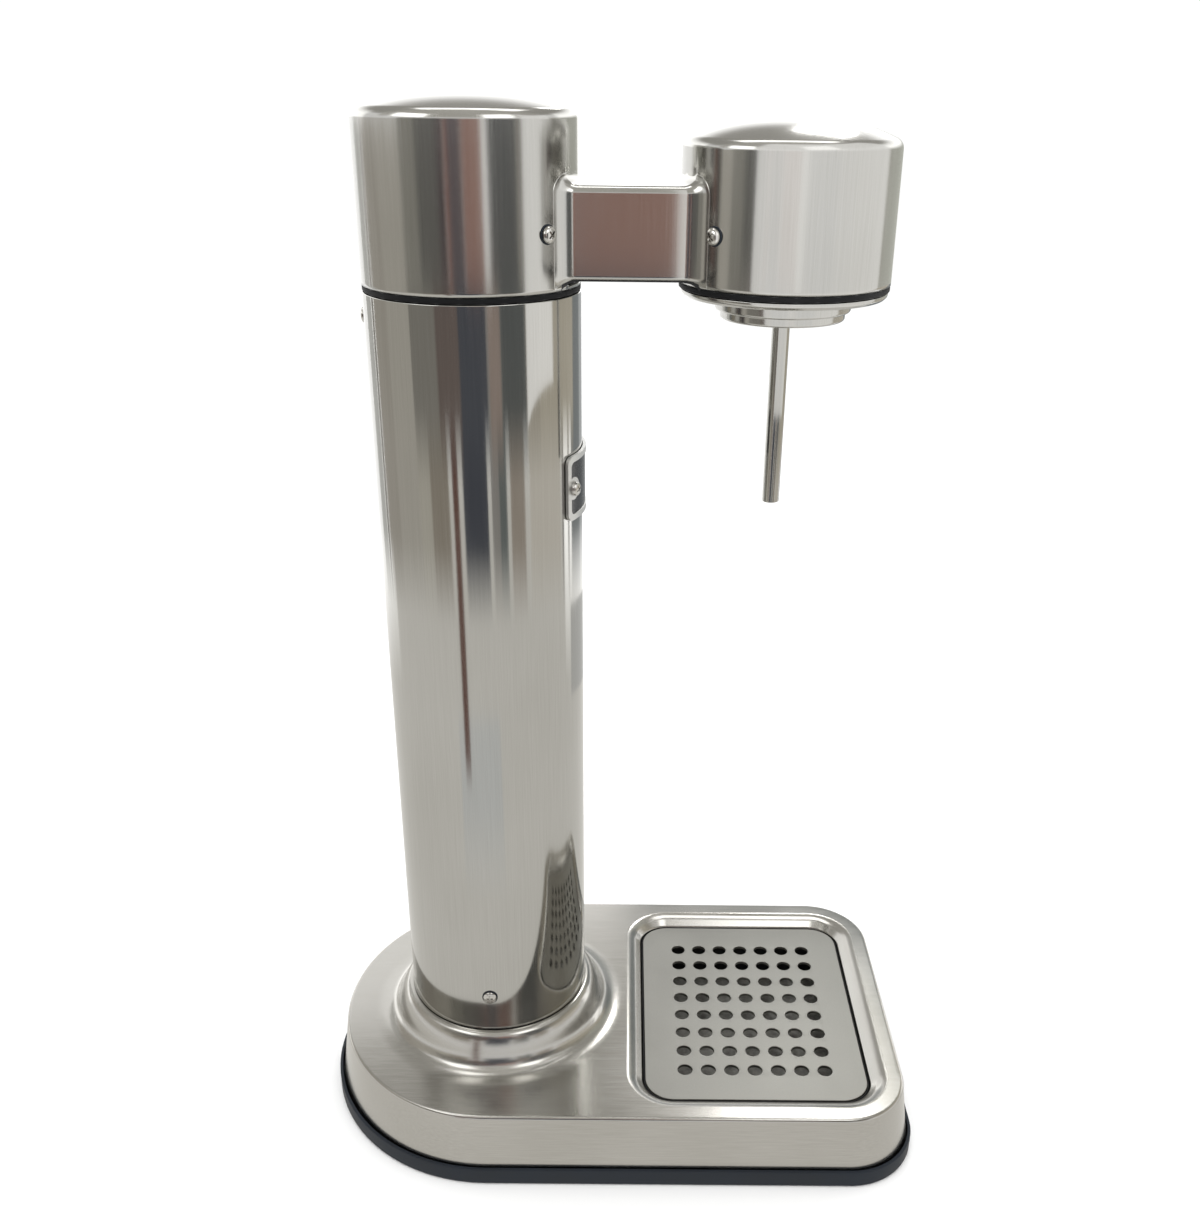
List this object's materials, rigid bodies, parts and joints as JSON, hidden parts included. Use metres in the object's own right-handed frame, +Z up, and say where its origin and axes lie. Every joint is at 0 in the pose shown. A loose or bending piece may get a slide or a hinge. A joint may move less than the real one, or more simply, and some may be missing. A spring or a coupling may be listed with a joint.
{
  "type": "sparkling water maker",
  "caption": "Countertop carbonator: steel column on a rounded base with a drip tray, arm and head over the bottle space, thin nozzle, side lever that opens the gas valve",
  "frame": {"origin": "centre of the base's outline, on the surface it stands on", "axes": "+X towards the machine's front (tray and nozzle end), +Y to its right-hand side (lever side), +Z up"},
  "size_m": [0.256, 0.153, 0.414],
  "materials": {
    "satin_steel": "satin brushed stainless steel",
    "bright_steel": "polished stainless steel with a fine brushed grain",
    "screw_steel": "bright screw steel",
    "spring_steel": "plain hardened steel",
    "brass": "machined brass",
    "painted_steel": "grey painted steel",
    "black_rubber": "matte black rubber",
    "black_plastic": "matte black moulded plastic",
    "white_plastic": "white moulded plastic",
    "silicone": "grey silicone"
  },
  "bodies": {
    "frame": {"base_housing": "satin_steel", "column_tube": "bright_steel", "top_cover": "bright_steel", "badge_plate": "bright_steel", "head_plate": "bright_steel", "bottle_collar": "bright_steel", "nozzle_tube": "bright_steel", "column_screw_left": "screw_steel", "column_screw_right": "screw_steel", "column_screw_back": "screw_steel", "badge_screw_left": "screw_steel", "badge_screw_right": "screw_steel", "cap_screw_left": "screw_steel", "cap_screw_right": "screw_steel", "head_screw_left": "screw_steel", "head_screw_right": "screw_steel", "base_screw_rear_left": "screw_steel", "base_screw_rear_right": "screw_steel", "base_screw_front_left": "screw_steel", "base_screw_front_right": "screw_steel", "socket_screw_1": "screw_steel", "socket_screw_2": "screw_steel", "socket_screw_3": "screw_steel", "return_spring": "spring_steel", "valve_block": "brass", "valve_lock_nut": "brass", "relief_valve_body": "brass", "relief_valve_cap": "brass", "hose_fitting_valve": "brass", "hose_fitting_head": "brass", "foot_ring": "black_rubber", "cylinder_seal": "black_rubber", "gas_hose": "black_rubber", "inner_frame": "black_plastic", "column_socket": "black_plastic", "base_plate": "black_plastic", "nozzle_block": "white_plastic", "shaft_bush_right": "white_plastic", "shaft_bush_left": "white_plastic", "bottle_seal": "silicone"},
    "lever": {"lever_shaft": "spring_steel", "lever_cam": "spring_steel", "shaft_clip": "spring_steel", "lever_arm": "bright_steel", "lever_screw": "screw_steel"},
    "plunger_body": {"plunger": "spring_steel"},
    "cylinder": {"gas_cylinder": "painted_steel", "cylinder_valve": "brass"},
    "pin": {"valve_pin": "spring_steel"},
    "pan": {"drip_pan": "black_plastic"},
    "grille": {"drip_grille": "satin_steel"}
  },
  "joints": [
    {"name": "lever_hinge", "type": "hinge", "parent": "frame", "child": "lever", "pos_m": [-0.0535, 0, 0.372], "axis": [0, 1, 0], "range_deg": [0, 35], "stiffness_Nm_per_rad": 0.5, "springref_deg": -57.3},
    {"name": "plunger_slide", "type": "slide", "parent": "frame", "child": "plunger_body", "axis": [0, 0, -1], "range_m": [0, 0.0025], "deforming": ["return_spring"]},
    {"name": "cylinder_slide", "type": "slide", "parent": "frame", "child": "cylinder", "axis": [0, 0, -1], "range_m": [0, 0.34]},
    {"name": "valve_pin_slide", "type": "slide", "parent": "cylinder", "child": "pin", "axis": [0, 0, -1], "range_m": [0, 0.0025]},
    {"name": "drip_pan_lift", "type": "slide", "parent": "frame", "child": "pan", "axis": [0, 0, 1], "range_m": [0, 0.04]},
    {"name": "grille_lift", "type": "slide", "parent": "pan", "child": "grille", "axis": [0, 0, 1], "range_m": [0, 0.03]}
  ],
  "couplings": [
    {"joint": "plunger_slide", "follows": "lever_hinge", "m_per_rad": 0.004093},
    {"joint": "valve_pin_slide", "follows": "lever_hinge", "m_per_rad": 0.004093}
  ]
}
